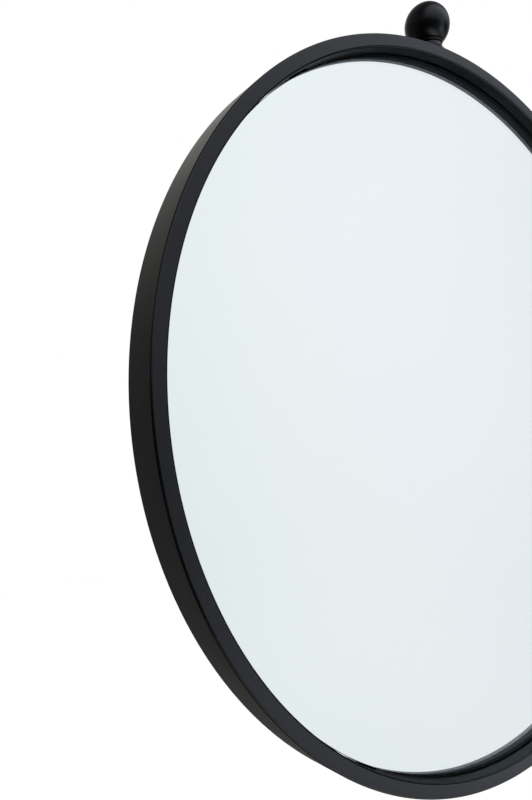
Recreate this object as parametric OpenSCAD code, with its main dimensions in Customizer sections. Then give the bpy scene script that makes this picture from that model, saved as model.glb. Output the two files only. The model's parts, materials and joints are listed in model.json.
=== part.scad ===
// Round wall mirror: a rolled tube ring, a recessed glass on a backing board and a turned ball finial.
// Millimetres. The wall is the plane Y = 0, the glass faces -Y and Z is up. The ring's axis is the Y axis.

/* [Ring] */
// Outer diameter of the ring
ring_d = 600; // [420:5:900]
// Width of the ring's front face
face_w = 11; // [10:0.5:18]
// Depth of the ring, from front to back
ring_depth = 31; // [30:0.5:40]
// Wall of the rolled steel tube
tube_wall = 1.2; // [0.8:0.1:1.6]
// Outside corner radius of the tube
corner_r = 1.5; // [1:0.1:2]

/* [Glass and board] */
// Depth of the glass behind the ring's front face
glass_recess = 10; // [6:0.5:11]
// Thickness of the mirror glass
glass_t = 4; // [3:0.5:5]
// Ground arris round both edges of the glass
glass_arris = 0.5; // [0.3:0.1:0.8]
// Gap between the glass and the ring
glass_gap = 0.7; // [0.4:0.1:1.5]
// Thickness of the mirror tape
tape_t = 1; // [0.5:0.1:1.5]
// Width of each strip of tape
tape_w = 25; // [12:1:40]
// Distance from one strip of tape to the next
tape_pitch = 120; // [60:5:125]
// Number of strips of tape
tape_count = 4; // [2:1:4]
// Distance that the tape stays inside the board's edge
tape_margin = 18; // [8:1:40]
// Thickness of the backing board
board_t = 9; // [8:0.5:10]
// Gap between the board and the ring
board_gap = 1; // [0.5:0.1:2]
// Chamfer round the board's back edge
board_chamfer = 0.8; // [0.4:0.1:1.5]

/* [Tabs] */
// Number of welded tabs
tab_count = 6; // [4:1:8]
// Reach of a tab from the ring's inner wall
tab_reach = 26; // [20:1:40]
// Width of a tab
tab_w = 20; // [14:1:30]
// Thickness of a tab
tab_t = 2; // [1.5:0.5:3]
// Distance from the end of a tab to its hole
tab_hole_inset = 10; // [8:0.5:11]
// Diameter of the tab screw's shank
tab_screw_d = 4; // [3.5:0.5:4.5]
// Length of the tab screw under its head
tab_screw_l = 9.5; // [8:0.5:9.5]
// Diameter of the tab screw's head
tab_head_d = 8; // [7:0.5:9]
// Height of the tab screw's head
tab_head_h = 2.6; // [2:0.2:3]

/* [Finial] */
// Diameter of the ball
ball_d = 38.4; // [34:0.2:38.4]
// Height of the ball's centre above the ring
ball_rise = 27; // [26:0.5:34]
// Diameter of the foot where it meets the ring
foot_d = 27; // [22:0.5:28]
// Height of the straight lip at the bottom of the foot
foot_lip = 1.6; // [1:0.2:2.4]
// Height of the groove above the ring
groove_rise = 8.6; // [8:0.2:9.6]
// Diameter of the foot's top, at the groove
foot_top_d = 21.6; // [19:0.2:21.8]
// Diameter at the bottom of the groove
groove_d = 20; // [16:0.5:21]
// Width of the groove
groove_w = 1; // [0.6:0.1:1.4]
// Diameter of the bead under the ball
bead_d = 23; // [22:0.2:24]
// Height of the bead
bead_h = 2.4; // [2:0.2:3]
// Diameter of the finial screw
finial_screw_d = 5; // [4:1:6]
// Length of the finial screw under its head
finial_screw_l = 16; // [12:1:20]
// Diameter of the finial screw's head
finial_head_d = 8.6; // [8:0.2:9]
// Height of the finial screw's head
finial_head_h = 3.4; // [2.4:0.2:3.6]
// Diameter of the washer
washer_d = 9.6; // [9:0.2:10]
// Thickness of the washer
washer_t = 1; // [0.6:0.2:1.2]
// Diameter of the hole in the ring's inner wall, for the screwdriver
access_d = 10.4; // [10.2:0.2:11]

/* [Hangers] */
// Distance between the two hangers
hanger_spacing = 320; // [160:5:340]
// Height of the hanger pivots above the ring's centre
hanger_rise = 170; // [80:5:170]
// Width of a strap
strap_w = 12; // [10:1:16]
// Length of a strap below its pivot
strap_l = 34; // [30:1:45]
// Thickness of the strap's sheet
strap_t = 1; // [0.8:0.1:1.2]
// Slope at which the fold comes down to the strap, in degrees
fold_slope = 45; // [35:1:60]
// Diameter of the D ring's wire
wire_d = 3; // [2.5:0.1:3.4]
// Play of the D ring between the strap's two sides
ring_side_play = 0.5; // [0.3:0.1:1.5]
// Bend radius at the D ring's corners, on the wire's centre line
ring_bend_r = 3; // [2.5:0.1:5]
// Length of the D ring's straight legs
ring_leg = 4; // [2:0.5:8]
// Distance from the pivot to the first strap screw
strap_screw_near = 10; // [9:0.5:10]
// Distance from the end of the strap to its second screw
strap_screw_inset = 6; // [5:0.5:6]
// Diameter of the strap screw's shank
strap_screw_d = 3.5; // [3:0.5:4]
// Length of the strap screw under its head
strap_screw_l = 9; // [7:0.5:9]
// Diameter of the strap screw's head
strap_head_d = 6.6; // [6:0.2:7]
// Height of the strap screw's head
strap_head_h = 2.2; // [1.8:0.2:2.6]

/* [Bumpers] */
// Number of rubber bumpers
bumper_count = 4; // [3:1:6]
// Diameter of a bumper where it sticks to the ring
bumper_d = 7.8; // [6:0.2:8]
// Diameter of a bumper's face on the wall
bumper_face_d = 6.6; // [4:0.2:6.6]
// Thickness of a bumper
bumper_t = 4; // [4:0.5:8]

/* [Fits] */
// Radial clearance of the D ring in its fold
pivot_fit = 0.08; // [0.04:0.01:0.1]
// Radial clearance of a screw in the piece that it bites in
screw_fit = 0.05; // [0.03:0.01:0.1]
// Radial clearance of a screw in the piece that it passes through
pass_fit = 0.25; // [0.15:0.05:0.4]
// Gap that the D ring keeps from what it leans on
lean_gap = 0.3; // [0.25:0.05:0.5]

/* [Hidden] */
$fn = 96;

// Overshoot of a cutting solid past the face that it cuts
cut = 1;
// Smallest radius that is still drawn as a round corner
least_round = 0.05;
// Overlap where two shapes of one piece join
lap = 0.2;

coat = "#2b2b2d";
zinc = "#b9bcc0";
silvering = "#dfe8ec";
mdf = "#a88660";
tape_white = "#e9e7e0";
rubber = "#1c1c1c";

// Radii of the ring
ring_r = ring_d / 2;
bore_r = ring_r - face_w;

// Planes along Y, from the wall at 0 to the front of the ring
back_y = -bumper_t;
front_y = back_y - ring_depth;
middle_y = back_y - ring_depth / 2;
glass_y = front_y + glass_recess;
tape_y = glass_y + glass_t;
board_y = tape_y + tape_t;
board_back_y = board_y + board_t;

glass_r = bore_r - glass_gap;
board_r = bore_r - board_gap;
tab_hole_r = bore_r - tab_reach + tab_hole_inset;

// The finial stands on the ring, and its washer lies across the hollow of the outer wall
washer_z = sqrt(pow(ring_r - tube_wall, 2) - pow(washer_d / 2, 2));
finial_head_z = washer_z - washer_t;
finial_bore_top = finial_head_z + finial_screw_l + 2;

// The fold is tangent to the board, so its radius is also the pivot's height above the board
wire_r = wire_d / 2;
fold_in_r = wire_r + pivot_fit;
fold_out_r = fold_in_r + strap_t;
pivot_y = board_back_y + fold_out_r;
ring_bar_half = strap_w / 2 + ring_side_play;
ring_half = ring_bar_half + ring_bend_r;
ring_reach = ring_bend_r + ring_leg + ring_half;
ring_lean = asin((fold_out_r - wire_r - lean_gap) / ring_reach);

// Turns a solid made along +Z so that it runs along +Y from the plane y
module along_y(y) {
    translate([0, y, 0])
        rotate([-90, 0, 0])
            children();
}

// Repeats a solid round the ring's axis, starting at the given angle from +X
module round_ring(count, start) {
    for (i = [0 : count - 1])
        rotate([0, -start - i * 360 / count, 0])
            children();
}

module round_rect(x0, y0, x1, y1, r) {
    if (r < least_round)
        translate([x0, y0])
            square([x1 - x0, y1 - y0]);
    else {
        translate([x0 + r, y0])
            square([x1 - x0 - 2 * r, y1 - y0]);
        translate([x0, y0 + r])
            square([x1 - x0, y1 - y0 - 2 * r]);
        for (x = [x0 + r, x1 - r], y = [y0 + r, y1 - r])
            translate([x, y])
                circle(r);
    }
}

// Pan head on its flat underside, dished round its edge, with its shank below
module pan_screw(shank_d, shank_l, head_d, head_h) {
    edge_r = head_h / 2;
    translate([0, 0, -shank_l])
        cylinder(d = shank_d, h = shank_l);
    rotate_extrude()
        intersection() {
            square([head_d / 2, head_h]);
            union() {
                square([head_d / 2 - edge_r, head_h]);
                square([head_d / 2, head_h - edge_r]);
                translate([head_d / 2 - edge_r, head_h - edge_r])
                    circle(edge_r);
            }
        }
}

// The rolled tube, with the finial screw's hole in its outer wall and the driver's hole in its inner one
module rim_tube() {
    color(coat)
        difference() {
            along_y(front_y)
                rotate_extrude($fn = 360)
                    difference() {
                        round_rect(bore_r, 0, ring_r, ring_depth, corner_r);
                        round_rect(bore_r + tube_wall, tube_wall, ring_r - tube_wall,
                                   ring_depth - tube_wall, corner_r - tube_wall);
                    }
            translate([0, middle_y, ring_r - face_w / 2])
                cylinder(d = finial_screw_d + 2 * pass_fit, h = face_w);
            translate([0, middle_y, bore_r - cut])
                cylinder(d = access_d, h = face_w / 2 + cut);
        }
}

// Tabs lie on the board's back, with their outer ends cut to the ring's inner wall
module board_tabs() {
    color(coat)
        round_ring(tab_count, 0)
            difference() {
                intersection() {
                    along_y(board_back_y)
                        linear_extrude(tab_t)
                            union() {
                                translate([bore_r - tab_reach + tab_w / 2, -tab_w / 2])
                                    square([tab_reach, tab_w]);
                                translate([bore_r - tab_reach + tab_w / 2, 0])
                                    circle(tab_w / 2);
                            }
                    along_y(board_back_y - cut)
                        cylinder(r = bore_r, h = tab_t + 2 * cut, $fn = 360);
                }
                translate([tab_hole_r, 0, 0])
                    along_y(board_back_y - cut)
                        cylinder(d = tab_screw_d + 2 * pass_fit, h = tab_t + 2 * cut);
            }
}

module tab_screws() {
    color(zinc)
        round_ring(tab_count, 0)
            translate([tab_hole_r, 0, 0])
                along_y(board_back_y + tab_t)
                    pan_screw(tab_screw_d, tab_screw_l, tab_head_d, tab_head_h);
}

module mirror_glass() {
    color(silvering)
        along_y(glass_y)
            rotate_extrude($fn = 360)
                polygon([
                    [0, 0],
                    [glass_r - glass_arris, 0],
                    [glass_r, glass_arris],
                    [glass_r, glass_t - glass_arris],
                    [glass_r - glass_arris, glass_t],
                    [0, glass_t],
                ]);
}

module bonding_tape() {
    color(tape_white)
        for (i = [0 : tape_count - 1]) {
            x = (i - (tape_count - 1) / 2) * tape_pitch;
            half = sqrt(pow(board_r - tape_margin, 2) - pow(abs(x) + tape_w / 2, 2));
            translate([x - tape_w / 2, tape_y, -half])
                cube([tape_w, tape_t, 2 * half]);
        }
}

module backing_board() {
    color(mdf)
        difference() {
            along_y(board_y)
                rotate_extrude($fn = 360)
                    polygon([
                        [0, 0],
                        [board_r, 0],
                        [board_r, board_t - board_chamfer],
                        [board_r - board_chamfer, board_t],
                        [0, board_t],
                    ]);
            round_ring(tab_count, 0)
                translate([tab_hole_r, 0, 0])
                    pilot(tab_screw_d, tab_screw_l - tab_t);
            at_hangers()
                at_strap_screws()
                    pilot(strap_screw_d, strap_screw_l - 2 * strap_t);
        }
}

// Blind pilot hole from the board's back
module pilot(screw_d, bite) {
    translate([0, -bite - screw_fit, 0])
        along_y(board_back_y)
            cylinder(d = screw_d + 2 * screw_fit, h = bite + screw_fit + cut);
}

// Turned finial, seated on the ring's curve, with a tapped hole for its screw
module finial() {
    neck_z = groove_rise - groove_w / 2;
    flare = (foot_d - foot_top_d) / 2;
    color(coat)
        translate([0, middle_y, 0])
            difference() {
                union() {
                    translate([0, 0, ring_r + ball_rise])
                        sphere(d = ball_d);
                    translate([0, 0, ring_r + groove_rise])
                        cylinder(d = groove_d, h = groove_w + bead_h, center = true);
                    translate([0, 0, ring_r + groove_rise + groove_w / 2])
                        rotate_extrude()
                            union() {
                                square([bead_d / 2 - bead_h / 2, bead_h]);
                                translate([bead_d / 2 - bead_h / 2, bead_h / 2])
                                    circle(bead_h / 2);
                            }
                    translate([0, 0, ring_r - foot_lip])
                        rotate_extrude()
                            difference() {
                                square([foot_d / 2, foot_lip + neck_z]);
                                translate([foot_d / 2, foot_lip + foot_lip])
                                    square([foot_d, neck_z]);
                                foot_cove(neck_z, flare);
                            }
                }
                along_y(-ring_depth)
                    cylinder(r = ring_r, h = 2 * ring_depth, $fn = 360);
                translate([0, 0, ring_r - foot_lip - cut])
                    cylinder(d = finial_screw_d + 2 * screw_fit, h = finial_bore_top - ring_r + foot_lip + cut);
            }
}

// Hollow curve between the foot's lip and its top: an arc that leaves the top upright
module foot_cove(neck_z, flare) {
    rise = neck_z - foot_lip;
    arc_r = (rise * rise + flare * flare) / (2 * flare);
    intersection() {
        translate([foot_top_d / 2 + arc_r, foot_lip + neck_z])
            circle(arc_r, $fn = 360);
        translate([0, 2 * foot_lip])
            square([foot_d, neck_z]);
    }
}

module finial_washer() {
    color(zinc)
        translate([0, middle_y, washer_z - washer_t])
            difference() {
                cylinder(d = washer_d, h = washer_t);
                translate([0, 0, -cut])
                    cylinder(d = finial_screw_d + 2 * pass_fit, h = washer_t + 2 * cut);
            }
}

module finial_screw() {
    color(zinc)
        translate([0, middle_y, finial_head_z])
            mirror([0, 0, 1])
                pan_screw(finial_screw_d, finial_screw_l, finial_head_d, finial_head_h);
}

module at_hangers() {
    for (side = [-1, 1])
        at_hanger(side)
            children();
}

module at_hanger(side) {
    translate([side * hanger_spacing / 2, 0, hanger_rise])
        children();
}

module at_strap_screws() {
    for (drop = [strap_screw_near, strap_l - strap_screw_inset])
        translate([0, 0, -drop])
            children();
}

// Section of the folded strap: x is the height above the board, y is the height from the pivot
module fold_section() {
    land_out_y = fold_landing(fold_out_r, 2 * strap_t);
    land_in_y = fold_landing(fold_in_r, strap_t);
    translate([0, -strap_l])
        square([2 * strap_t, strap_l + land_out_y + lap]);
    difference() {
        fold_side(fold_out_r, 0, 2 * strap_t, land_out_y);
        fold_side(fold_in_r, strap_t, strap_t, land_in_y);
    }
}

// Height at which the sloping line tangent to a circle round the pivot comes down to x = land_x
function fold_landing(r, land_x) =
    -r * sin(fold_slope) - (fold_out_r + r * cos(fold_slope) - land_x) / tan(fold_slope);

// Area inside one side of the folded sheet, down to where its slope lands
module fold_side(r, base_x, land_x, land_y) {
    translate([fold_out_r, 0])
        circle(r);
    polygon([
        [base_x, 0],
        [base_x, land_y],
        [land_x, land_y],
        [fold_out_r + r * cos(fold_slope), -r * sin(fold_slope)],
        [fold_out_r, 0],
    ]);
}

// Strap folded double round the ring's bar, with a rounded lower end and two holes
module hanger_strap() {
    color(zinc)
        difference() {
            intersection() {
                translate([-strap_w / 2, board_back_y, 0])
                    rotate([90, 0, 90])
                        linear_extrude(strap_w)
                            fold_section();
                along_y(board_back_y - cut)
                    linear_extrude(2 * fold_out_r + 2 * cut)
                        union() {
                            translate([-strap_w / 2, -fold_out_r - cut])
                                square([strap_w, fold_out_r + cut + strap_l - strap_w / 2]);
                            translate([0, strap_l - strap_w / 2])
                                circle(strap_w / 2);
                        }
            }
            at_strap_screws()
                along_y(board_back_y - cut)
                    cylinder(d = strap_screw_d + 2 * pass_fit, h = 2 * fold_out_r + 2 * cut);
        }
}

// Wire bent to a D: its bar lies in the fold, and it leans on the board
module d_ring() {
    color(zinc)
        translate([0, pivot_y, 0])
            rotate([ring_lean, 0, 0]) {
                rotate([0, 90, 0])
                    cylinder(r = wire_r, h = 2 * ring_bar_half, center = true);
                for (side = [-1, 1]) {
                    translate([side * ring_bar_half, 0, ring_bend_r])
                        rotate([90, 0, 0])
                            rotate([0, 0, side > 0 ? -90 : 180])
                                rotate_extrude(angle = 90)
                                    translate([ring_bend_r, 0])
                                        circle(wire_r);
                    translate([side * ring_half, 0, ring_bend_r])
                        cylinder(r = wire_r, h = ring_leg);
                }
                translate([0, 0, ring_bend_r + ring_leg])
                    rotate([90, 0, 0])
                        rotate_extrude(angle = 180)
                            translate([ring_half, 0])
                                circle(wire_r);
            }
}

module hanger_screws() {
    color(zinc)
        at_hangers()
            at_strap_screws()
                along_y(board_back_y + 2 * strap_t)
                    pan_screw(strap_screw_d, strap_screw_l, strap_head_d, strap_head_h);
}

module wall_bumpers() {
    color(rubber)
        round_ring(bumper_count, 180 / bumper_count)
            translate([ring_r - face_w / 2, 0, 0])
                along_y(back_y)
                    cylinder(d1 = bumper_d, d2 = bumper_face_d, h = bumper_t);
}

rim_tube();
board_tabs();
mirror_glass();
bonding_tape();
backing_board();
tab_screws();
finial();
finial_washer();
finial_screw();
at_hanger(-1) hanger_strap();  // hanger_strap_left
at_hanger(1) hanger_strap();  // hanger_strap_right
at_hanger(-1) d_ring();  // d_ring_left
at_hanger(1) d_ring();  // d_ring_right
hanger_screws();
wall_bumpers();
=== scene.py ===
# Round wall mirror: a black coated ring, a recessed glass on a backing board, and a turned ball finial.
# Metres, in the frame's own axes. The wall is the plane Y = 0, the glass faces -Y and Z is up.
import json
import math

import bpy
from mathutils import Matrix, Vector


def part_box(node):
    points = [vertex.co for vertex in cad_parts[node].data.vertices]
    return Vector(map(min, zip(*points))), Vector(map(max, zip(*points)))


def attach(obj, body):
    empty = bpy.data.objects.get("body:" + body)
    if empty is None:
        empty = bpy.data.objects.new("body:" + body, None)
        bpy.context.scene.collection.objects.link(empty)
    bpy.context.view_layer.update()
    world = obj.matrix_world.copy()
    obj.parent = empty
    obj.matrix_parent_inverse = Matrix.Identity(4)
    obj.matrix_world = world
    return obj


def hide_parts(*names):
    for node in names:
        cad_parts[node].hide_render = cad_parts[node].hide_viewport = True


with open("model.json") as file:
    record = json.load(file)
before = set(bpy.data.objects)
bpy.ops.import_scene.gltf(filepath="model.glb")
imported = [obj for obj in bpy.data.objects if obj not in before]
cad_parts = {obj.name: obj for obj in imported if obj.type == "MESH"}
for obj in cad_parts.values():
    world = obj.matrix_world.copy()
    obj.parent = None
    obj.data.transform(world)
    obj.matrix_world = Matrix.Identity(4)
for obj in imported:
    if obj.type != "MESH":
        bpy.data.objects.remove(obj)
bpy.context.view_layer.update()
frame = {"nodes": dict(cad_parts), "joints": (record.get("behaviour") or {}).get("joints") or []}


# The camera stands close to the mirror's left edge, a little below its middle, and looks across it.
# The place, the angles and the focal length in pixels come from fitting the ring's circles to the photograph.
eye = Vector((-0.46257, -0.36548, -0.01311))
look_right = math.radians(36.15)
look_up = math.radians(3.045)
lean_right = math.radians(5.31)
focal_px = 655.1
photo_height_px = 800
film = 36

bpy.ops.object.camera_add(location=eye)
camera = bpy.context.object
camera.name = "camera"
camera.data.sensor_width = film
camera.data.lens = film * focal_px / photo_height_px
turn = Matrix.Rotation(-look_right, 3, "Z") @ Matrix.Rotation(math.pi / 2 + look_up, 3, "X")
camera.rotation_euler = (turn @ Matrix.Rotation(-lean_right, 3, "Z")).to_euler()
bpy.context.scene.camera = camera


# The studio is a white sweep. A broad soft light stands in front of the mirror, a second one to its right,
# past a dark gap, and a smaller one behind it. The rest is dim and keeps the coat black. The floor is pale.
class Value:
    """One output of a shader node. Maths on it adds Math nodes to the same tree."""

    def __init__(self, maker, socket):
        self.maker = maker
        self.socket = socket

    def __add__(self, other):
        return self.maker.maths("ADD", self, other)

    def __radd__(self, other):
        return self.maker.maths("ADD", other, self)

    def __sub__(self, other):
        return self.maker.maths("SUBTRACT", self, other)

    def __rsub__(self, other):
        return self.maker.maths("SUBTRACT", other, self)

    def __mul__(self, other):
        return self.maker.maths("MULTIPLY", self, other)

    def __rmul__(self, other):
        return self.maker.maths("MULTIPLY", other, self)

    def __truediv__(self, other):
        return self.maker.maths("DIVIDE", self, other)

    def output(self, name):
        """Another output of the same node."""
        return Value(self.maker, self.socket.node.outputs[name])

    def ease(self, low, high):
        """0 below low, 1 above high, and a smooth step between them."""
        ends = {"Value": self, "From Min": low, "From Max": high}
        return self.maker.node("MapRange", {"interpolation_type": "SMOOTHSTEP"}, ends)


class Finish:
    """A node tree in the making: a material's or the world's."""

    def __init__(self, tree):
        self.tree = tree
        tree.nodes.clear()

    def node(self, kind, settings=None, values=None, output=0):
        """Adds a node: its settings first, then the values or links of its sockets."""
        made = self.tree.nodes.new("ShaderNode" + kind)
        for name, setting in (settings or {}).items():
            if name == "stops":
                self.set_stops(made.color_ramp, setting)
            else:
                setattr(made, name, setting)
        for name, value in (values or {}).items():
            if isinstance(value, Value):
                self.tree.links.new(value.socket, made.inputs[name])
            else:
                made.inputs[name].default_value = value
        return Value(self, made.outputs[output]) if len(made.outputs) else None

    def set_stops(self, ramp, stops):
        for place, colour in stops[2:]:
            ramp.elements.new(place)
        for element, (place, colour) in zip(ramp.elements, stops):
            element.position = place
            element.color = colour

    def maths(self, operation, *values):
        return self.node("Math", {"operation": operation}, dict(enumerate(values)))

    def mix(self, share, first, second):
        """The first colour, or the second where the share is 1."""
        return self.node("Mix", {"data_type": "RGBA"}, {"Factor": share, 6: first, 7: second}, output=2)

    def less(self, share, first, second):
        """The first colour, with a share of the second taken off it."""
        settings = {"data_type": "RGBA", "blend_type": "SUBTRACT"}
        return self.node("Mix", settings, {"Factor": share, 6: first, 7: second}, output=2)

    def parts(self, vector):
        """The X, Y and Z of a vector."""
        made = self.node("SeparateXYZ", values={"Vector": vector})
        return [Value(self, made.socket.node.outputs[axis]) for axis in "XYZ"]


def colour(red, green, blue):
    return (red, green, blue, 1)


white = colour(1, 1, 1)
room_left = colour(0.845, 0.903, 0.890)
room_right = colour(1.036, 1.060, 1.101)
recess_low = colour(0.24, 0.31, 0.345)
recess_level = colour(0.070, 0.092, 0.102)
recess_high = colour(0.60, 0.76, 0.83)
ceiling = colour(0.085, 0.088, 0.095)
matt_light = colour(0.62, 0.62, 0.61)
dark_side = colour(0.010, 0.010, 0.011)
upper_side = colour(0.200, 0.200, 0.205)
dim_rear = colour(0.166, 0.168, 0.162)
upper_rear = colour(0.290, 0.282, 0.265)
rear_light = colour(0.80, 0.785, 0.745)
window = colour(1.01, 1.08, 1.22)
floor_light = colour(1.10, 1.12, 1.14)

world = bpy.data.worlds.new("studio")
bpy.context.scene.world = world
world.use_nodes = True
sky = Finish(world.node_tree)
direction = sky.node("TexCoord", output="Generated")
across, away, up = sky.parts(direction)
behind = away.ease(0.1, 0.6)
behind_right = (0.68 * across + 0.68 * away + 0.25 * up).ease(0.60, 0.95)
in_front = (0.17 * across - away).ease(0.20, 0.45)
over_floor = (up - 0.16 * across + 0.56).ease(-0.12, 0.02)
left_edge = (0.94 * across + 0.34 * away + 0.95 * up.ease(-0.03, 0.30)).ease(-0.02, 0.14)
dark_gap = (0.883 * across - 0.469 * away).ease(0.90, 0.98)
lit = in_front * over_floor * left_edge * (1 - dark_gap)
side = sky.mix(up.ease(0.0, 0.45), dark_side, upper_side)
rear = sky.mix(up.ease(0.25, 0.55), dim_rear, upper_rear)
glossy = sky.mix(behind, side, rear)
glossy = sky.mix(behind_right, glossy, rear_light)
glossy = sky.mix(up.ease(0.45, 0.75) * (0.3 - away).ease(0.0, 0.3), glossy, ceiling)
glossy = sky.mix((0 - up).ease(0.62, 0.80) * (0.3 * across - away).ease(0.1, 0.4), glossy, floor_light)
glossy = sky.mix(lit, glossy, window)
more_glow = in_front * (0.8 * (0 - up).ease(0.15, 0.36) + 0.4 * up.ease(0.4, 0.65))
# The glass's front reflects the lights too. As much is taken off what the silvering mirrors, so the glass
# looks plain
slant = 0.85 + away
front_share = (0.05 + 0.5 * slant * slant) * (1 + 0.75 * more_glow)
to_the_right = (across + 0.20 * up - 0.25) / 0.6
mirrored = sky.less(front_share, sky.mix(to_the_right, room_left, room_right), glossy)
recess = sky.mix(up.ease(-0.95, -0.48), recess_low, recess_level)
recess = sky.mix(up.ease(-0.15, 0.70), recess, recess_high)
path = sky.node("LightPath", output="Is Camera Ray")
# The plain mirror is seen at a depth of 4, and the ring's inner wall together with the mirror at 5
depth = path.output("Ray Depth")
first_mirroring = path.output("Is Transmission Ray") * (4.5 - depth).ease(-0.1, 0.1)
light = sky.mix(first_mirroring, glossy, mirrored)
light = sky.mix((depth - 4.5).ease(-0.1, 0.1), light, recess)
light = sky.mix(path.output("Is Diffuse Ray"), light, matt_light)
light = sky.mix(path, light, white)
off_coat = path.output("Is Glossy Ray") * (1 - path.output("Is Transmission Ray"))
glow = 1 + off_coat * more_glow
sky.node("OutputWorld", values={"Surface": sky.node("Background", values={"Color": light, "Strength": glow})})
bpy.context.scene.view_settings.view_transform = "Standard"

# A broad sun-like light from above and in front, and a soft one from behind, both for the matt surfaces only
for name, place, strength in (("front_light", (0.5, -0.8, 1.6), 1.1), ("back_light", (-0.5, 1.0, 0.8), 1.0)):
    bpy.ops.object.light_add(type="SUN", location=place)
    lamp = bpy.context.object
    lamp.name = name
    lamp.rotation_euler = Vector(place).to_track_quat("Z", "Y").to_euler()
    lamp.data.energy = strength
    lamp.data.angle = math.radians(60)
    lamp.visible_glossy = False
    lamp.visible_transmission = False

floor_drop = 0.9
floor_radius = 9
floor_fade = (1.2, 4.5)
floor_pale = colour(0.93, 0.93, 0.92)

bpy.ops.object.select_all(action="DESELECT")
bpy.ops.mesh.primitive_circle_add(
    vertices=128, radius=floor_radius, fill_type="NGON", location=(0, 0, -floor_drop))
floor = bpy.context.object
floor.name = "floor"
floor.visible_glossy = False
floor.visible_transmission = False
material = bpy.data.materials.new("pale_floor")
material.use_nodes = True
pale = Finish(material.node_tree)
place = pale.node("TexCoord", output="Object")
away_from_middle = pale.node("VectorMath", {"operation": "LENGTH"}, {0: place}, output="Value")
matt = pale.node("BsdfDiffuse", values={"Color": floor_pale})
nothing = pale.node("BsdfTransparent")
faded = pale.node("MixShader", values={0: away_from_middle.ease(*floor_fade), 1: matt, 2: nothing})
pale.node("OutputMaterial", values={"Surface": faded})
floor.data.materials.append(material)


# The ring is one rectangular steel tube, rolled to a circle, welded shut and ground smooth. Its satin black
# powder coat has a faint orange peel and a fine grain, and runs a little thinner and glossier at the corners.
def pick(piece, kind, wanted):
    """In edit mode, selects only the piece's vertices, edges or faces for which wanted is true."""
    bpy.ops.object.mode_set(mode="EDIT")
    bpy.ops.mesh.select_mode(type=kind)
    bpy.ops.mesh.select_all(action="DESELECT")
    bpy.ops.object.mode_set(mode="OBJECT")
    mesh = piece.data
    items = {"VERT": mesh.vertices, "EDGE": mesh.edges, "FACE": mesh.polygons}[kind]
    for item in items:
        item.select = wanted(item)
    bpy.ops.object.mode_set(mode="EDIT")


def ends(piece, edge):
    """The two end points of an edge."""
    return [piece.data.vertices[i].co for i in edge.vertices]


def settle(piece):
    """Leaves edit mode and puts the object at the origin, unturned and unscaled."""
    if bpy.context.mode != "OBJECT":
        bpy.ops.object.mode_set(mode="OBJECT")
    bpy.ops.object.select_all(action="DESELECT")
    piece.select_set(True)
    bpy.context.view_layer.objects.active = piece
    bpy.ops.object.transform_apply(location=True, rotation=True, scale=True)


def lathe(piece, axis, centre, steps):
    """Turns the piece's outline once round the axis and closes the result, faces outwards."""
    settle(piece)
    bpy.ops.object.mode_set(mode="EDIT")
    bpy.ops.mesh.select_all(action="SELECT")
    bpy.ops.mesh.spin(steps=steps, angle=2 * math.pi, center=centre, axis=axis)
    heal(piece)


def heal(piece):
    """Merges doubled points and turns every face outwards."""
    bpy.ops.mesh.select_all(action="SELECT")
    bpy.ops.mesh.remove_doubles(threshold=1e-6)
    bpy.ops.mesh.normals_make_consistent(inside=False)
    settle(piece)


def smooth(piece, sharpest=35):
    """Smooth shading that keeps flat faces flat and corners under the given angle round."""
    settle(piece)
    bpy.ops.object.shade_smooth_by_angle(angle=math.radians(sharpest))
    bpy.ops.object.modifier_add(type="WEIGHTED_NORMAL")
    piece.modifiers[-1].keep_sharp = True
    bpy.ops.object.modifier_apply(modifier=piece.modifiers[-1].name)


def carve(piece, cutter, operation="DIFFERENCE"):
    """Cuts the piece with the cutter, which is then thrown away."""
    settle(piece)
    bpy.ops.object.modifier_add(type="BOOLEAN")
    piece.modifiers[-1].object = cutter
    piece.modifiers[-1].operation = operation
    bpy.ops.object.modifier_apply(modifier=piece.modifiers[-1].name)
    bpy.data.objects.remove(cutter)


def rod(radius, depth, location, rotation=(0, 0, 0), vertices=48):
    """A plain round cutter."""
    bpy.ops.object.select_all(action="DESELECT")
    bpy.ops.mesh.primitive_cylinder_add(
        vertices=vertices, radius=radius, depth=depth, location=location, rotation=rotation)
    return bpy.context.object


def powder_coat(name, thin=None):
    """Satin black powder coat. The coat is thin where the share thin(finish, place) is 1."""
    full = colour(0.0014, 0.0015, 0.0017)
    cloudy = colour(0.0029, 0.0030, 0.0034)
    shine = 0.27
    material = bpy.data.materials.new(name)
    material.use_nodes = True
    coat = Finish(material.node_tree)
    place = coat.node("TexCoord", output="Object")
    grain = coat.node("TexNoise", values={"Vector": place, "Scale": 1500.0, "Detail": 2.0})
    peel = coat.node("TexNoise", values={"Vector": place, "Scale": 320.0, "Detail": 1.0})
    clouds = coat.node("TexNoise", values={"Vector": place, "Scale": 26.0, "Detail": 3.0})
    rough = 0.33 + 0.10 * (clouds - 0.5) + 0.05 * (grain - 0.5)
    if thin:
        rough = rough - 0.15 * thin(coat, place)
    bumps = coat.node("Bump", values={"Strength": 0.5, "Distance": 0.00005, "Height": grain + 2.5 * peel})
    coat.node("OutputMaterial", values={"Surface": coat.node("BsdfPrincipled", values={
        "Base Color": coat.mix(clouds.ease(0.35, 0.7), full, cloudy),
        "Roughness": rough,
        "Specular IOR Level": shine,
        "Normal": bumps,
    })})
    return material


ring_low, ring_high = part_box("rim_tube")
ring_r = (ring_high.x - ring_low.x) / 2
front_y = ring_low.y
back_y = ring_high.y
ring_depth = back_y - front_y
middle_y = (front_y + back_y) / 2
face_w = 0.011
bore_r = ring_r - face_w
tube_wall = 0.0012
corner_r = 0.0015
corner_steps = 6
ring_steps = 360
finial_hole_r = 0.00275
driver_hole_r = 0.0052


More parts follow.
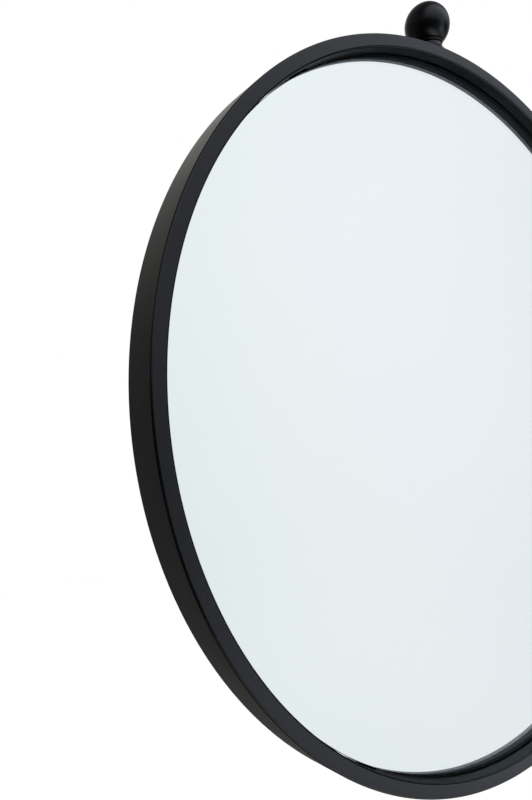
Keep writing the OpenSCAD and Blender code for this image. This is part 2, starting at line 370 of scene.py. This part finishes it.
def rolled_section(name, inset):
    """The tube's rounded section, drawn in by the inset on every side, turned once round the ring's axis."""
    bpy.ops.object.select_all(action="DESELECT")
    bpy.ops.mesh.primitive_plane_add(size=1, location=(ring_r - face_w / 2, middle_y, 0))
    piece = bpy.context.object
    piece.name = name
    piece.scale = (face_w - 2 * inset, ring_depth - 2 * inset, 1)
    settle(piece)
    bpy.ops.object.mode_set(mode="EDIT")
    bpy.ops.mesh.select_all(action="SELECT")
    bpy.ops.mesh.bevel(offset=corner_r - inset, segments=corner_steps, affect="VERTICES")
    bpy.ops.mesh.select_all(action="SELECT")
    bpy.ops.mesh.delete(type="ONLY_FACE")
    lathe(piece, axis=(0, 1, 0), centre=(0, 0, 0), steps=ring_steps)
    return piece


# The finial's screw goes through the outer wall at the top. A screwdriver reaches it through the inner wall
ring = rolled_section("steel_ring", 0)
carve(ring, rolled_section("hollow", tube_wall))
carve(ring, rod(finial_hole_r, 4 * tube_wall, (0, middle_y, ring_r)))
carve(ring, rod(driver_hole_r, 4 * tube_wall, (0, middle_y, bore_r)))
smooth(ring)


def ring_corners(coat, place):
    """1 on the ring's four rounded corners."""
    x, y, z = coat.parts(place)
    radius = coat.maths("SQRT", x * x + z * z)
    off_face = coat.maths("ABSOLUTE", radius - (ring_r - face_w / 2))
    off_side = coat.maths("ABSOLUTE", y - middle_y)
    near_rim = off_face.ease(face_w / 2 - 1.2 * corner_r, face_w / 2)
    near_edge = off_side.ease(ring_depth / 2 - 1.2 * corner_r, ring_depth / 2)
    return near_rim * near_edge


ring.data.materials.append(powder_coat("ring_coat", thin=ring_corners))
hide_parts("rim_tube")
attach(ring, "mirror")


# The glass is a round plate of float glass with ground edges, silvered on its back. Its body is slightly
# green.
# Its ground edges and arrises are near black: painted shade for the dark gap between glass and ring.
glass_low, glass_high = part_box("mirror_glass")
glass_r = (glass_high.x - glass_low.x) / 2
tape_gap = 0.00005
glass_t = glass_high.y - glass_low.y - tape_gap
arris = 0.0005

bpy.ops.object.select_all(action="DESELECT")
bpy.ops.mesh.primitive_cylinder_add(
    vertices=ring_steps, radius=glass_r, depth=glass_t, end_fill_type="NGON",
    location=(0, glass_low.y + glass_t / 2, 0), rotation=(math.pi / 2, 0, 0))
glass = bpy.context.object
glass.name = "mirror_plate"
settle(glass)


def on_cap(edge):
    """True for an edge that runs round one of the plate's two faces."""
    first, second = ends(glass, edge)
    return abs(first.y - second.y) < glass_t / 2


pick(glass, "EDGE", on_cap)
bpy.ops.mesh.bevel(offset=arris, offset_type="WIDTH", segments=1)
settle(glass)

clear = bpy.data.materials.new("float_glass")
clear.use_nodes = True
plate = Finish(clear.node_tree)
place = plate.node("TexCoord", output="Object")
dust = plate.node("TexNoise", values={"Vector": place, "Scale": 900.0, "Detail": 4.0})
plate.node("OutputMaterial", values={"Surface": plate.node("BsdfPrincipled", values={
    "Base Color": colour(0.965, 0.985, 0.98),
    "Roughness": 0.012 * dust.ease(0.62, 0.9),
    "IOR": 1.52,
    "Transmission Weight": 1.0,
})})

# The ground edge and arrises get a near black colour, painted shade for the gap between the glass and the
# ring's wall
ground = bpy.data.materials.new("ground_edge_painted_shade")
ground.use_nodes = True
edge = Finish(ground.node_tree)
place = edge.node("TexCoord", output="Object")
scratches = edge.node("TexNoise", values={"Vector": place, "Scale": 2200.0, "Detail": 2.0})
edge.node("OutputMaterial", values={"Surface": edge.node("BsdfPrincipled", values={
    "Base Color": edge.mix(scratches, colour(0.002, 0.005, 0.0045), colour(0.004, 0.010, 0.009)),
    "Roughness": 0.55 + 0.2 * (scratches - 0.5),
    "Specular IOR Level": 0.1,
    "Normal": edge.node("Bump", values={"Strength": 0.4, "Distance": 0.00002, "Height": scratches}),
})})

silver = bpy.data.materials.new("silvering")
silver.use_nodes = True
backing = Finish(silver.node_tree)
place = backing.node("TexCoord", output="Object")
haze = backing.node("TexNoise", values={"Vector": place, "Scale": 9.0, "Detail": 2.0})
backing.node("OutputMaterial", values={"Surface": backing.node("BsdfPrincipled", values={
    "Base Color": backing.mix(haze, colour(0.93, 0.95, 0.95), colour(0.95, 0.96, 0.965)),
    "Metallic": 1.0,
    "Roughness": 0.004 + 0.004 * haze,
})})

for material in (clear, ground, silver):
    glass.data.materials.append(material)
for face in glass.data.polygons:
    if face.normal.y > 0.9:
        face.material_index = 2
    elif face.normal.y > -0.9:
        face.material_index = 1
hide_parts("mirror_glass")
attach(glass, "mirror")


# Double-sided foam tape holds the glass to the board, and the board is plain medium density fibreboard with a
# chamfered edge. Both keep their own solids, and only get a finish here.
def refinish(node, material):
    """Gives one of the frame's own pieces a finish."""
    piece = frame["nodes"][node]
    piece.data.materials.clear()
    piece.data.materials.append(material)


foam = bpy.data.materials.new("foam_tape")
foam.use_nodes = True
tape = Finish(foam.node_tree)
place = tape.node("TexCoord", output="Object")
cells = tape.node("TexVoronoi", values={"Vector": place, "Scale": 1600.0}, output="Distance")
tape.node("OutputMaterial", values={"Surface": tape.node("BsdfPrincipled", values={
    "Base Color": tape.mix(cells, colour(0.55, 0.54, 0.50), colour(0.80, 0.79, 0.75)),
    "Roughness": 0.7 + 0.2 * cells,
    "Normal": tape.node("Bump", values={"Strength": 0.5, "Distance": 0.0001, "Height": cells}),
})})
refinish("bonding_tape", foam)

board_low, board_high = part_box("backing_board")
board_r = (board_high.x - board_low.x) / 2
board_back_y = board_high.y

fibreboard = bpy.data.materials.new("fibreboard")
fibreboard.use_nodes = True
mdf = Finish(fibreboard.node_tree)
place = mdf.node("TexCoord", output="Object")
x, y, z = mdf.parts(place)
fibres = mdf.node("TexNoise", values={"Vector": place, "Scale": 2600.0, "Detail": 3.0, "Roughness": 0.7})
flecks = mdf.node("TexVoronoi", values={"Vector": place, "Scale": 420.0}, output="Distance")
patches = mdf.node("TexNoise", values={"Vector": place, "Scale": 30.0, "Detail": 4.0})
radius = mdf.maths("SQRT", x * x + z * z)
cut_edge = radius.ease(board_r - 0.0009, board_r - 0.0006)
pressed = mdf.mix(fibres.ease(0.25, 0.75), colour(0.240, 0.154, 0.088), colour(0.355, 0.242, 0.148))
flecked = mdf.mix((1 - flecks).ease(0.84, 0.98) * 0.45, pressed, colour(0.13, 0.078, 0.042))
cloudy = mdf.mix(patches.ease(0.3, 0.8) * 0.16, flecked, colour(0.40, 0.29, 0.19))
mdf.node("OutputMaterial", values={"Surface": mdf.node("BsdfPrincipled", values={
    "Base Color": mdf.mix(cut_edge * 0.6, cloudy, colour(0.12, 0.072, 0.038)),
    "Roughness": 0.62 + 0.2 * (fibres - 0.5) + 0.2 * cut_edge,
    "Specular IOR Level": 0.35,
    "Normal": mdf.node("Bump", values={"Strength": 0.3, "Distance": 0.0001, "Height": fibres}),
})})
refinish("backing_board", fibreboard)


# Six steel tabs are welded to the ring's inner wall and coated with it. Each has a round end, a hole for its
# screw and a weld bead along the wall.
def draw(name, points):
    """A chain of edges through the points, drawn one point after another. It closes if its ends meet."""
    bpy.ops.object.select_all(action="DESELECT")
    bpy.ops.mesh.primitive_plane_add(size=0.001, location=points[0])
    piece = bpy.context.object
    piece.name = name
    bpy.ops.object.mode_set(mode="EDIT")
    bpy.ops.mesh.select_mode(type="VERT")
    bpy.ops.mesh.select_all(action="SELECT")
    bpy.ops.mesh.merge(type="CENTER")
    for here, there in zip(points, points[1:]):
        bpy.ops.mesh.extrude_vertices_move(TRANSFORM_OT_translate={"value": Vector(there) - Vector(here)})
    bpy.ops.mesh.select_all(action="SELECT")
    bpy.ops.mesh.remove_doubles(threshold=1e-6)
    settle(piece)
    return piece


def arc(centre, radius, start, end, steps):
    """Points on an arc in a plane, as pairs. Angles are in degrees."""
    turns = [math.radians(start + (end - start) * i / steps) for i in range(steps + 1)]
    return [(centre[0] + radius * math.cos(t), centre[1] + radius * math.sin(t)) for t in turns]


def slab(piece, push):
    """Fills the piece's closed outline and gives it thickness."""
    settle(piece)
    bpy.ops.object.mode_set(mode="EDIT")
    bpy.ops.mesh.select_all(action="SELECT")
    bpy.ops.mesh.edge_face_add()
    bpy.ops.mesh.extrude_region_move(TRANSFORM_OT_translate={"value": push})
    heal(piece)


def ease_edges(piece, width, segments=2):
    """A small rounding along every sharp edge."""
    settle(piece)
    bpy.ops.object.modifier_add(type="BEVEL")
    bevel = piece.modifiers[-1]
    bevel.width = width
    bevel.segments = segments
    bevel.limit_method = "ANGLE"
    bpy.ops.object.modifier_apply(modifier=bevel.name)


def copies(template, places):
    """Copies of a finished piece, each with its own mesh. Each place is a turn and a shift in one matrix."""
    made = []
    for number, place in enumerate(places, 1):
        settle(template)
        bpy.ops.object.duplicate(linked=False)
        piece = bpy.context.object
        piece.name = f"{template.name}_{number}"
        piece.data.transform(place)
        made.append(piece)
    bpy.data.objects.remove(template)
    return made


tabs_low, tabs_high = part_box("board_tabs")
tab_count = 6
tab_w = 0.020
tab_reach = 0.026
tab_t = tabs_high.y - tabs_low.y
tab_hole_r = bore_r - tab_reach + tab_w / 2
tab_hole = 0.00225
tab_outer = math.degrees(math.asin(tab_w / 2 / bore_r))
tab_edge = 0.0003
bead_r = 0.0014
bead_sink = 0.0008
bead_span = 0.017
bead_ripples = 9
ripple_depth = 0.22
bead_tip = 0.35

outline = arc((tab_hole_r, 0), tab_w / 2, 90, 270, 24) + arc((0, 0), bore_r, -tab_outer, tab_outer, 4)
outline.append(outline[0])
tab = draw("tab", [(x, tabs_low.y, z) for x, z in outline])
slab(tab, (0, tab_t, 0))
carve(tab, rod(tab_hole, 3 * tab_t, (tab_hole_r, tabs_low.y, 0), (math.pi / 2, 0, 0)))
ease_edges(tab, tab_edge)
smooth(tab)
tab_coat = powder_coat("tab_coat")
tab.data.materials.append(tab_coat)

around_axis = [Matrix.Rotation(-2 * math.pi * i / tab_count, 4, "Y") for i in range(tab_count)]
for piece in copies(tab, around_axis):
    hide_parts("board_tabs")
    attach(piece, "mirror")


def tube_start(name, radius, location, rotation, vertices):
    """An open circle, selected in edit mode, ready to be extruded or spun into a tube."""
    bpy.ops.object.select_all(action="DESELECT")
    bpy.ops.mesh.primitive_circle_add(
        vertices=vertices, radius=radius, fill_type="NOTHING", location=location, rotation=rotation)
    piece = bpy.context.object
    piece.name = name
    settle(piece)
    bpy.ops.object.mode_set(mode="EDIT")
    bpy.ops.mesh.select_all(action="SELECT")
    return piece


def close_tube(piece):
    """Caps both ends of a tube."""
    bpy.ops.mesh.select_all(action="SELECT")
    bpy.ops.mesh.fill_holes(sides=0)
    heal(piece)


# The bead is a short piece of ring, rippled as it was laid and tapered to both ends
bead_turn = bead_span / bore_r
steel_edge_r = bore_r - bead_sink
weld = tube_start("tab_weld", bead_r, (steel_edge_r, tabs_high.y, 0), (0, 0, 0), 16)
bpy.ops.transform.rotate(value=-bead_turn / 2, orient_axis="Y", center_override=(0, 0, 0))
bpy.ops.mesh.spin(steps=bead_ripples * 4, angle=bead_turn, center=(0, 0, 0), axis=(0, 1, 0))
close_tube(weld)
for corner in weld.data.vertices:
    angle = math.atan2(corner.co.z, corner.co.x)
    along = angle / bead_turn
    middle = Vector((steel_edge_r * math.cos(angle), tabs_high.y, steel_edge_r * math.sin(angle)))
    swell = 1 - ripple_depth * abs(math.sin(math.pi * bead_ripples * along))
    taper = math.sqrt(max(0.0, 1 - (2 * along) ** 8))
    corner.co = middle + (corner.co - middle) * swell * (bead_tip + (1 - bead_tip) * taper)
smooth(weld, sharpest=60)
weld.data.materials.append(tab_coat)
for piece in copies(weld, around_axis):
    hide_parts("board_tabs")
    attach(piece, "mirror")


# Cross-recessed pan-head screws hold the tabs to the board: six zinc-plated ones, turned down on the tabs.
def zinc_plate(name, brushed=0.0):
    """Blue passivated zinc: a pale metal with cloudy roughness. Brushed gives it fine lines along Z."""
    material = bpy.data.materials.new(name)
    material.use_nodes = True
    zinc = Finish(material.node_tree)
    place = zinc.node("TexCoord", output="Object")
    stretch = (1.0, 1.0, 1 - 0.94 * brushed)
    stretched = zinc.node("VectorMath", {"operation": "MULTIPLY"}, {0: place, 1: stretch})
    lines = zinc.node("TexNoise", values={"Vector": stretched, "Scale": 5200.0, "Detail": 2.0})
    clouds = zinc.node("TexNoise", values={"Vector": place, "Scale": 230.0, "Detail": 3.0})
    zinc.node("OutputMaterial", values={"Surface": zinc.node("BsdfPrincipled", values={
        "Base Color": zinc.mix(clouds.ease(0.35, 0.7), colour(0.56, 0.58, 0.61), colour(0.66, 0.66, 0.65)),
        "Metallic": 1.0,
        "Roughness": 0.30 + 0.14 * (clouds - 0.5) + 0.10 * (lines - 0.5),
        "Normal": zinc.node("Bump", values={"Strength": 0.25, "Distance": 0.00001, "Height": lines}),
    })})
    return material


def pan_screw(name, shank_r, shank_l, head_r, head_h):
    """A pan head with a cross recess, its underside at the origin and its pointed shank along -Z."""
    edge_r = head_h * 0.5
    crown = head_h * 0.08
    tip = shank_r * 1.2
    outline = [(0, head_h), (head_r * 0.35, head_h - crown * 0.2)]
    outline += arc((head_r - edge_r, head_h - crown - edge_r), edge_r, 80, 0, 6)
    outline += [(head_r, 0), (shank_r, 0)]
    outline += [(shank_r, tip - shank_l), (shank_r * 0.25, -shank_l), (0, -shank_l)]
    piece = draw(name, [(x, 0, z) for x, z in outline])
    lathe(piece, axis=(0, 0, 1), centre=(0, 0, 0), steps=48)
    span, wing, depth = head_r * 1.05, head_r * 0.2, head_h * 0.62
    span_taper, wing_taper = 0.45, 0.7
    for turn in (0, math.pi / 2):
        bpy.ops.object.select_all(action="DESELECT")
        bpy.ops.mesh.primitive_cube_add(size=1, location=(0, 0, head_h), rotation=(0, 0, turn))
        cutter = bpy.context.object
        cutter.scale = (span, wing, 2 * depth)
        pick(cutter, "VERT", lambda corner: corner.co.z < 0)
        taper = (span_taper, wing_taper, 1) if turn == 0 else (wing_taper, span_taper, 1)
        bpy.ops.transform.resize(value=taper)
        settle(cutter)
        carve(piece, cutter)
    smooth(piece, sharpest=40)
    return piece


screws_low, screws_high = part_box("tab_screws")
tab_head_h = screws_high.y - tabs_high.y
tab_head_r = 0.004
tab_shank_r = 0.002
tab_shank_l = tabs_high.y - screws_low.y

zinc = zinc_plate("zinc_screw")
screw = pan_screw("tab_screw", tab_shank_r, tab_shank_l, tab_head_r, tab_head_h)
screw.data.materials.append(zinc)
into_board = Matrix.Rotation(-math.pi / 2, 4, "X")
# Each screw came tight at an angle of its own
places = []
for number, turn in enumerate(around_axis):
    stop = Matrix.Rotation(math.radians(37 * number), 4, "Z")
    places.append(turn @ Matrix.Translation((tab_hole_r, tabs_high.y, 0)) @ into_board @ stop)
for piece in copies(screw, places):
    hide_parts("tab_screws")
    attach(piece, "mirror")


# The finial is turned from one piece: a ball on a rounded bead, a groove and a hollow foot that is cut to the
# ring's curve. It has the ring's coat. Its screw and washer are hidden in the tube.
finial_low, finial_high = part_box("finial")
ball_r = (finial_high.x - finial_low.x) / 2
ball_z = finial_high.z - ball_r
foot_r = 0.0135
foot_lip = 0.0016
foot_top_r = 0.0108
groove_z = ring_r + 0.0086
groove_r = 0.010
groove_w = 0.001
bead_out_r = 0.0115
bead_h = 0.0024
soft = 0.0003
bore_fit_r = 0.00255
bore_spare = 0.002
bore_top_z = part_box("finial_screw")[1].z + bore_spare

foot_z = ring_r + foot_lip
neck_z = groove_z - groove_w / 2
rise = neck_z - foot_z
flare = foot_r - foot_top_r
cove_r = (rise ** 2 + flare ** 2) / (2 * flare)
cove_turn = math.degrees(math.asin(rise / cove_r))
bead_z = groove_z + groove_w / 2 + bead_h / 2
ball_foot_z = bead_z + bead_h / 2
ball_start = -math.degrees(math.acos(math.sqrt(ball_r ** 2 - (ball_z - ball_foot_z) ** 2) / ball_r))

outline = [(0, ring_r - foot_lip), (foot_r, ring_r - foot_lip), (foot_r, foot_z - soft)]
outline += arc((foot_top_r + cove_r, neck_z), cove_r, 180 + cove_turn, 180, 24)
outline += [(groove_r, neck_z + 0.2 * groove_w), (groove_r, neck_z + 0.8 * groove_w)]
outline += arc((bead_out_r - bead_h / 2, bead_z), bead_h / 2, -85, 80, 12)
outline += arc((0, ball_z), ball_r, ball_start, 90, 64)
finial = draw("turned_finial", [(x, middle_y, z) for x, z in outline])
lathe(finial, axis=(0, 0, 1), centre=(0, middle_y, 0), steps=144)
carve(finial, rod(ring_r, 4 * foot_r, (0, middle_y, 0), (math.pi / 2, 0, 0), vertices=2 * ring_steps))
carve(finial, rod(bore_fit_r, 2 * (bore_top_z - ring_r), (0, middle_y, ring_r)))
smooth(finial, sharpest=40)
finial.data.materials.append(powder_coat("finial_coat"))
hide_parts("finial")
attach(finial, "mirror")
refinish("finial_washer", zinc_plate("zinc_washer"))
refinish("finial_screw", zinc_plate("zinc_machine_screw"))


# Each hanger is a strap of zinc-plated sheet, folded double round the straight bar of a D ring. Its two
# layers lie against each other below the fold, and two screws hold them to the board.
pivots = {joint["child"]: Vector(joint["pos_m"]) for joint in frame["joints"]}
strap_low, strap_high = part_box("hanger_strap_left")
strap_w = strap_high.x - strap_low.x
strap_t = 0.001
wire_r = 0.0015
pivot_fit = 0.00008
fold_in_r = wire_r + pivot_fit
fold_out_r = fold_in_r + strap_t
strap_l = strap_high.z - fold_out_r - strap_low.z
strap_seam = 0.00008
strap_edge = 0.00012
strap_hole = 0.0020
strap_drops = (0.010, strap_l - 0.006)
fold_slope = 45


def fold_landing(radius, height):
    """How far below the pivot the sloping side of the fold comes down to a height over the board."""
    slope = math.radians(fold_slope)
    return -radius * math.sin(slope) - (fold_out_r + radius * math.cos(slope) - height) / math.tan(slope)


low_layer = strap_t - strap_seam / 2
high_layer = strap_t + strap_seam / 2
outline = [(0, -strap_l)] + arc((fold_out_r, 0), fold_out_r, 180, -fold_slope, 40)
outline += [(2 * strap_t, fold_landing(fold_out_r, 2 * strap_t)), (2 * strap_t, -strap_l)]
outline += [(high_layer, -strap_l), (high_layer, fold_landing(fold_in_r, high_layer))]
outline += arc((fold_out_r, 0), fold_in_r, -fold_slope, 180, 32)
outline += [(low_layer, -strap_l), (0, -strap_l)]
strap = draw("hanger_strap", [(-strap_w / 2, board_back_y + y, z) for y, z in outline])
slab(strap, (strap_w, 0, 0))

stencil_top = fold_out_r + strap_w
round_end_z = -strap_l + strap_w / 2
rounding = [(-strap_w, stencil_top), (-strap_w, round_end_z)]
rounding += arc((0, round_end_z), strap_w / 2, 180, 360, 32)
rounding += [(strap_w, round_end_z), (strap_w, stencil_top), (-strap_w, stencil_top)]
stencil = draw("stencil", [(x, board_back_y - strap_w, z) for x, z in rounding])
slab(stencil, (0, 3 * strap_w, 0))
carve(strap, stencil, "INTERSECT")
for drop in strap_drops:
    carve(strap, rod(strap_hole, 6 * strap_t, (0, board_back_y + strap_t, -drop), (math.pi / 2, 0, 0)))
ease_edges(strap, strap_edge)
smooth(strap)
strap.data.materials.append(zinc_plate("zinc_strap", brushed=1.0))
sides = {"left_ring": "left", "right_ring": "right"}
places = [Matrix.Translation((pivots[body].x, 0, pivots[body].z)) for body in sides]
for side, piece in zip(sides.values(), copies(strap, places)):
    piece.name = "folded_strap_" + side
    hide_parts("hanger_strap_" + side)
    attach(piece, "mirror")


# The D ring is bent from zinc-plated wire, with the two ends of the wire meeting in the middle of its bar. It
# swings in the fold, and leans on the board while the mirror hangs.
ring_bend_r = 0.003
ring_leg = 0.004
ring_side_play = 0.0005
lean_gap = 0.0003
butt_gap = 0.00015
bar_half = strap_w / 2 + ring_side_play
bow_r = bar_half + ring_bend_r
reach = ring_bend_r + ring_leg + bow_r
lean = math.asin((fold_out_r - wire_r - lean_gap) / reach)

wire = tube_start("d_ring", wire_r, (butt_gap / 2, 0, 0), (0, math.pi / 2, 0), 24)
bpy.ops.mesh.extrude_region_move(TRANSFORM_OT_translate={"value": (bar_half - butt_gap / 2, 0, 0)})
bpy.ops.mesh.spin(steps=14, angle=math.pi / 2, center=(bar_half, 0, ring_bend_r), axis=(0, 1, 0))
bpy.ops.mesh.extrude_region_move(TRANSFORM_OT_translate={"value": (0, 0, ring_leg)})
bpy.ops.mesh.spin(steps=56, angle=math.pi, center=(0, 0, ring_bend_r + ring_leg), axis=(0, 1, 0))
bpy.ops.mesh.extrude_region_move(TRANSFORM_OT_translate={"value": (0, 0, -ring_leg)})
bpy.ops.mesh.spin(steps=14, angle=math.pi / 2, center=(-bar_half, 0, ring_bend_r), axis=(0, 1, 0))
bpy.ops.mesh.extrude_region_move(TRANSFORM_OT_translate={"value": (bar_half - butt_gap / 2, 0, 0)})
close_tube(wire)
smooth(wire, sharpest=50)
wire.data.materials.append(zinc_plate("zinc_wire"))
places = [Matrix.Translation(pivots[body]) @ Matrix.Rotation(lean, 4, "X") for body in sides]
for (body, side), piece in zip(sides.items(), copies(wire, places)):
    piece.name = "wire_ring_" + side
    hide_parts("d_ring_" + side)
    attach(piece, body)


# Two small pan-head screws hold each strap. They are the same kind as the tab screws, one size smaller.
hanger_screws_low, hanger_screws_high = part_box("hanger_screws")
strap_top_y = board_back_y + 2 * strap_t
strap_head_h = hanger_screws_high.y - strap_top_y
strap_head_r = 0.0033
strap_shank_r = 0.00175
strap_shank_l = strap_top_y - hanger_screws_low.y

screw = pan_screw("strap_screw", strap_shank_r, strap_shank_l, strap_head_r, strap_head_h)
screw.data.materials.append(zinc)
places = []
for number, (body, drop) in enumerate((body, drop) for body in sides for drop in strap_drops):
    stop = Matrix.Rotation(math.radians(52 * number + 11), 4, "Z")
    spot = Vector((pivots[body].x, strap_top_y, pivots[body].z - drop))
    places.append(Matrix.Translation(spot) @ into_board @ stop)
for piece in copies(screw, places):
    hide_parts("hanger_screws")
    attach(piece, "mirror")


# Four soft rubber bumpers are stuck to the ring's back. They keep the ball off the wall and the mirror from
# sliding.
bumpers_low, bumpers_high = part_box("wall_bumpers")
bumper_t = bumpers_high.y - bumpers_low.y
bumper_r = 0.0039
bumper_face_r = 0.0033
bumper_round = 0.0006
bumper_turns = (45, 135, 225, 315)

outline = [(0, 0), (bumper_r, 0)]
outline += arc((bumper_face_r - bumper_round, bumper_t - bumper_round), bumper_round, 8, 90, 6)
outline.append((0, bumper_t))
bumper = draw("wall_bumper", [(x, 0, z) for x, z in outline])
lathe(bumper, axis=(0, 0, 1), centre=(0, 0, 0), steps=48)
smooth(bumper)

rubber_mix = bpy.data.materials.new("moulded_rubber")
rubber_mix.use_nodes = True
rubber = Finish(rubber_mix.node_tree)
place = rubber.node("TexCoord", output="Object")
bloom = rubber.node("TexNoise", values={"Vector": place, "Scale": 700.0, "Detail": 3.0})
rubber.node("OutputMaterial", values={"Surface": rubber.node("BsdfPrincipled", values={
    "Base Color": rubber.mix(bloom.ease(0.4, 0.8), colour(0.012, 0.012, 0.012), colour(0.035, 0.034, 0.033)),
    "Roughness": 0.62 + 0.2 * (bloom - 0.5),
    "Specular IOR Level": 0.4,
    "Normal": rubber.node("Bump", values={"Strength": 0.3, "Distance": 0.00002, "Height": bloom}),
})})
bumper.data.materials.append(rubber_mix)
off_wall = Matrix.Translation((ring_r - face_w / 2, back_y, 0)) @ Matrix.Rotation(-math.pi / 2, 4, "X")
places = [Matrix.Rotation(-math.radians(turn), 4, "Y") @ off_wall for turn in bumper_turns]
for piece in copies(bumper, places):
    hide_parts("wall_bumpers")
    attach(piece, "mirror")
